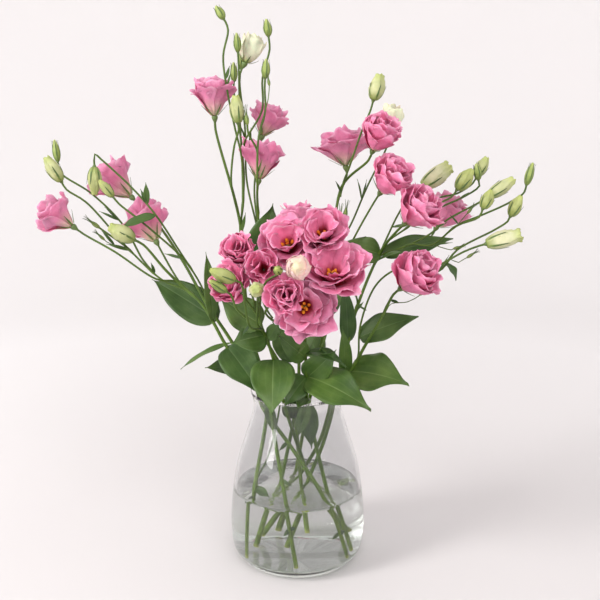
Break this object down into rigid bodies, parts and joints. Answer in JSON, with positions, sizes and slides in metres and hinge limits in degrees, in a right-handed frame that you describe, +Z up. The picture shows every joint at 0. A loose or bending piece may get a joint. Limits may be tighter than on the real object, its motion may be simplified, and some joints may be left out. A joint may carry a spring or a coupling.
{
  "type": "lisianthus bouquet in a glass vase",
  "caption": "Upright bouquet of pink lisianthus with open blooms, pale buds and green leaves, standing in a clear glass vase of water; table decoration.",
  "frame": {"origin": "centre of the vase's underside, on the table", "axes": "+Z up along the vase, -Y towards the side that the bouquet shows best, +X to its right seen from there"},
  "size_m": [0.4735, 0.2056, 0.5514],
  "materials": {
    "glass": "polished",
    "water": "polished",
    "leaf_green": "satin",
    "pink_petal": "matte",
    "cream_petal": "matte",
    "bud_cream": "satin",
    "stamen_orange": "matte"
  },
  "bodies": {
    "root": {"vase": "glass", "water": "water", "stem_left_high": "leaf_green", "stem_left_low": "leaf_green", "stem_top_left": "leaf_green", "stem_top_right": "leaf_green", "stem_front_left": "leaf_green", "stem_front_right": "leaf_green", "stem_middle": "leaf_green", "stem_back_right": "leaf_green", "stem_right_upper": "leaf_green", "stem_right_lower": "leaf_green", "bloom_left_low": "pink_petal", "bloom_left_high": "pink_petal", "bloom_left_near": "pink_petal", "bloom_top_left": "pink_petal", "bloom_top_back": "pink_petal", "bloom_top_right": "pink_petal", "bloom_right_flared": "pink_petal", "bloom_right_high": "pink_petal", "bloom_right_middle": "pink_petal", "bloom_right_front": "pink_petal", "bloom_right_back": "pink_petal", "bloom_right_low": "pink_petal", "bloom_cluster_left": "pink_petal", "bloom_cluster_lower_left": "pink_petal", "bloom_cluster_middle": "pink_petal", "bloom_cluster_upper": "pink_petal", "bloom_cluster_top": "pink_petal", "bloom_cluster_back": "pink_petal", "bloom_cluster_right": "pink_petal", "bloom_cluster_round": "pink_petal", "bloom_cluster_low": "pink_petal", "half_open_cluster": "cream_petal", "half_open_top": "cream_petal", "half_open_right": "cream_petal", "stamens_cluster_upper": "stamen_orange", "stamens_cluster_top": "stamen_orange", "stamens_cluster_right": "stamen_orange", "stamens_cluster_low": "stamen_orange", "bud_left_end": "bud_cream", "bud_left_hanging": "bud_cream", "bud_left_middle": "bud_cream", "bud_left_fat": "bud_cream", "bud_top_pale": "bud_cream", "bud_right_upper": "bud_cream", "bud_right_cream": "bud_cream", "bud_right_fat": "bud_cream", "bud_right_twin": "bud_cream", "bud_right_long": "bud_cream", "bud_right_round": "bud_cream", "bud_right_outer": "bud_cream", "bud_right_lowest": "bud_cream", "bud_cluster_left": "bud_cream", "bud_cluster_round": "bud_cream"}
  },
  "joints": []
}
